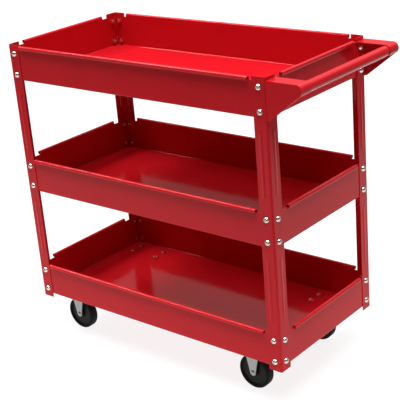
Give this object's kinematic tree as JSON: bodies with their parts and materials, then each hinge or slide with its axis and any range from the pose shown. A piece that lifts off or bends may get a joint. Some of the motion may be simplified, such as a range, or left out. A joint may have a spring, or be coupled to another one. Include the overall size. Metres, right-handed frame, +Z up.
{
  "type": "tool cart",
  "caption": "Three-shelf steel tool cart with deep folded trays, bolted angle legs, a push handle at one end and small casters.",
  "frame": {"origin": "on the ground, under the middle of the overall box, handle included", "axes": "+X along the cart towards its handle end, +Y across the cart, +Z up; the wheels stand on z = 0"},
  "size_m": [0.8112, 0.3676, 0.7268],
  "materials": {
    "red_powder_coat": "glossy red powder coat",
    "bright_zinc": "bright zinc plate",
    "dull_zinc": "dull zinc plate on pressed steel",
    "wheel_core": "moulded black polypropylene",
    "tyre": "moulded black rubber tread"
  },
  "bodies": {
    "frame": {"top_tray": "red_powder_coat", "middle_tray": "red_powder_coat", "bottom_tray": "red_powder_coat", "front_left_leg": "red_powder_coat", "front_right_leg": "red_powder_coat", "rear_left_leg": "red_powder_coat", "rear_right_leg": "red_powder_coat", "front_handle_bracket": "red_powder_coat", "rear_handle_bracket": "red_powder_coat", "handle_bar": "red_powder_coat", "top_tray_screws": "bright_zinc", "middle_tray_screws": "bright_zinc", "bottom_tray_screws": "bright_zinc", "top_tray_nuts": "bright_zinc", "middle_tray_nuts": "bright_zinc", "bottom_tray_nuts": "bright_zinc", "caster_screws": "bright_zinc", "caster_nuts": "bright_zinc", "front_rigid_fork": "dull_zinc", "front_rigid_axle": "dull_zinc", "front_rigid_axle_nut": "dull_zinc", "front_rigid_sleeve": "dull_zinc", "rear_rigid_fork": "dull_zinc", "rear_rigid_axle": "dull_zinc", "rear_rigid_axle_nut": "dull_zinc", "rear_rigid_sleeve": "dull_zinc", "front_swivel_plate": "dull_zinc", "front_swivel_kingpin": "dull_zinc", "front_swivel_balls": "bright_zinc", "rear_swivel_plate": "dull_zinc", "rear_swivel_kingpin": "dull_zinc", "rear_swivel_balls": "bright_zinc"},
    "front_swivel_caster": {"front_swivel_fork": "dull_zinc", "front_swivel_axle": "dull_zinc", "front_swivel_axle_nut": "dull_zinc", "front_swivel_sleeve": "dull_zinc"},
    "front_swivel_wheel": {"front_swivel_wheel_core": "wheel_core", "front_swivel_tyre": "tyre"},
    "front_rigid_wheel": {"front_rigid_wheel_core": "wheel_core", "front_rigid_tyre": "tyre"},
    "rear_swivel_caster": {"rear_swivel_fork": "dull_zinc", "rear_swivel_axle": "dull_zinc", "rear_swivel_axle_nut": "dull_zinc", "rear_swivel_sleeve": "dull_zinc"},
    "rear_swivel_wheel": {"rear_swivel_wheel_core": "wheel_core", "rear_swivel_tyre": "tyre"},
    "rear_rigid_wheel": {"rear_rigid_wheel_core": "wheel_core", "rear_rigid_tyre": "tyre"}
  },
  "joints": [
    {"name": "front_caster_swivel", "type": "hinge", "parent": "frame", "child": "front_swivel_caster", "pos_m": [0.24615, -0.126, 0.09], "axis": [0, 0, 1], "continuous": true},
    {"name": "front_swivel_wheel_spin", "type": "hinge", "parent": "front_swivel_caster", "child": "front_swivel_wheel", "pos_m": [0.21615, -0.126, 0.04], "axis": [0, 1, 0], "continuous": true},
    {"name": "front_rigid_wheel_spin", "type": "hinge", "parent": "frame", "child": "front_rigid_wheel", "pos_m": [-0.32185, -0.126, 0.04], "axis": [0, 1, 0], "continuous": true},
    {"name": "rear_caster_swivel", "type": "hinge", "parent": "frame", "child": "rear_swivel_caster", "pos_m": [0.24615, 0.126, 0.09], "axis": [0, 0, 1], "continuous": true},
    {"name": "rear_swivel_wheel_spin", "type": "hinge", "parent": "rear_swivel_caster", "child": "rear_swivel_wheel", "pos_m": [0.21615, 0.126, 0.04], "axis": [0, 1, 0], "continuous": true},
    {"name": "rear_rigid_wheel_spin", "type": "hinge", "parent": "frame", "child": "rear_rigid_wheel", "pos_m": [-0.32185, 0.126, 0.04], "axis": [0, 1, 0], "continuous": true}
  ]
}
